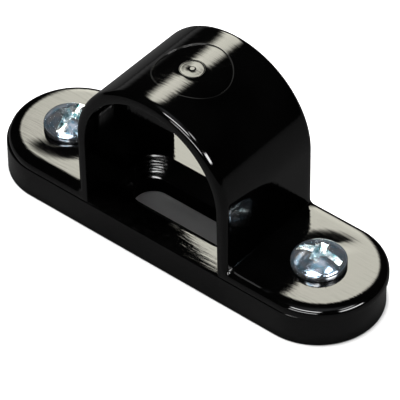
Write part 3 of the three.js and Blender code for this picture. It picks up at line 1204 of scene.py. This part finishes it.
def bright_zinc(name, pale, teal, roughness):
    material, tree, shader = new_material(name)
    shader.inputs["Metallic"].default_value = ZINC_METALLIC
    ripple = use_group(tree, skin_ripple, {"Wave Scale": 1100.0, "Peel Scale": 5000.0, "Peel Share": 0.2})
    lines = use_group(tree, hairlines, {"Stretch": (700, 700, 2500), "Scale": 1.0, "Coverage": 0.5})
    edges = use_group(tree, bright_edges, {"Start": 0.51, "Full": 0.6})
    colour = blend_colours(tree, ripple["Cloud"], pale, teal)
    colour = blend_colours(tree, edges["Mask"], colour, ZINC_EDGE)
    tree.links.new(colour, shader.inputs["Base Color"])
    tree.links.new(add_share(tree, roughness, lines["Mask"], 0.18), shader.inputs["Roughness"])
    skin = bump(tree, ripple["Height"], ZINC_RIPPLE)
    skin = bump(tree, lines["Height"], ZINC_SCRATCH, under=skin)
    tree.links.new(skin, shader.inputs["Normal"])
    return material


def turned_brass():
    material, tree, shader = new_material("turned_brass")
    shader.inputs["Metallic"].default_value = 1.0
    ripple = use_group(tree, skin_ripple, {"Wave Scale": 400.0, "Peel Scale": 3000.0, "Peel Share": 0.3})
    lines = use_group(tree, hairlines, {"Stretch": (300, 300, 6000), "Scale": 1.0, "Coverage": 0.8})
    edges = use_group(tree, bright_edges, {"Start": 0.51, "Full": 0.6})
    colour = blend_colours(tree, ripple["Cloud"], BRASS_DARK, BRASS_LIGHT)
    colour = blend_colours(tree, edges["Mask"], colour, BRASS_EDGE)
    tree.links.new(colour, shader.inputs["Base Color"])
    tree.links.new(add_share(tree, BRASS_ROUGHNESS, lines["Mask"], 0.2), shader.inputs["Roughness"])
    tree.links.new(bump(tree, lines["Height"], BRASS_SCRATCH), shader.inputs["Normal"])
    return material


zinc = bright_zinc("bright_zinc", (0.74, 0.82, 0.95, 1), (0.4, 0.62, 0.78, 1), 0.16)
# the recess is painted darker than the head, which is painted shade; its teal is the passivate's tint
recess_zinc_painted_shade = bright_zinc("recess_zinc_painted_shade", (0.5, 0.6, 0.66, 1), (0.12, 0.36, 0.4, 1), 0.25)
brass = turned_brass()
print("metals", [made.name for made in (zinc, recess_zinc_painted_shade, brass)])

# %% [markdown]
# ## Put it together
# Each piece takes its finish, rides on its CAD body and stands for its CAD node. Three places have a finish
# of their own. The recess in a screw's head is duller and painted darker, which is painted shade, with the
# teal tint of the passivate. The thin slope round the medallion is painted grey, a painted highlight. The
# inside of the slot never meets a hand, so it is dull and unscratched.

# %% Places with a finish of their own
RECESS_START = 0.16 * MM
RECESS_REACH = 0.97
RIM_MARGIN = 0.05 * MM
SINK_MARGIN = 0.1 * MM
SINK_TOP = BAR_TOP - 0.01 * MM


def in_recess(node_name):
    """Makes the test for places that lie well under the surface of this screw's dome."""
    low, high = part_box(node_name)
    axis = (low + high) / 2
    head_radius = (high.x - low.x) / 2
    dome = dome_radius(head_radius, high.z)

    def test(point):
        reach = math.hypot(point.x - axis.x, point.y - axis.y)
        if point.z <= FOOT_TOP + HEAD_SIDE / 2 or reach >= RECESS_REACH * head_radius:
            return False
        return high.z - dome + math.sqrt(dome ** 2 - reach ** 2) - point.z > RECESS_START

    return test


def in_slot(point):
    """Below the bar's top, inside the outline of the countersink."""
    reach = max(0.0, abs(point.x - BAR_MIDDLE_X) - SLOT_TRAVEL / 2)
    return point.z < SINK_TOP and math.hypot(reach, point.y) < SINK_HALF + SINK_MARGIN


def on_rim(point):
    reach = math.hypot(point.x - SADDLE_MIDDLE_X, point.y)
    inside, outside = MEDALLION_RADIUS - RIM_WIDTH - RIM_MARGIN, MEDALLION_RADIUS + RIM_MARGIN
    return inside < reach < outside and point.z > ARCH_CENTRE + PASSAGE_RADIUS


def mark_faces(piece, material, belongs):
    """Gives this finish to the faces whose middle passes the test."""
    piece.data.materials.append(material)
    found = 0
    for face in piece.data.polygons:
        if belongs(face.center):
            face.material_index = 1
            found += 1
    print(piece.name, "has", material.name, "on", found, "faces")


# %% Finish, ride and replace
finish_surface(bar, bar_plastic, lambda point: not in_slot(point))
finish_surface(saddle, saddle_plastic, lambda point: point.z < ARCH_CENTRE)
mark_faces(saddle, rim_plastic, on_rim)
mark_faces(bar, sink_plastic, in_slot)
for side in ("left", "right"):
    finish_surface(screws[side], zinc)
    # faces deep in the recess take the darker finish, painted shade
    mark_faces(screws[side], recess_zinc_painted_shade, in_recess("screw_" + side))
    finish_surface(inserts[side], brass)

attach(bar, "bar")
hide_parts("spacer_base")
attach(saddle, "saddle")
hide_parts("saddle")
for side in ("left", "right"):
    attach(screws[side], "screw_" + side)
    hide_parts("screw_" + side)
    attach(inserts[side], "bar")
    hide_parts("insert_" + side)
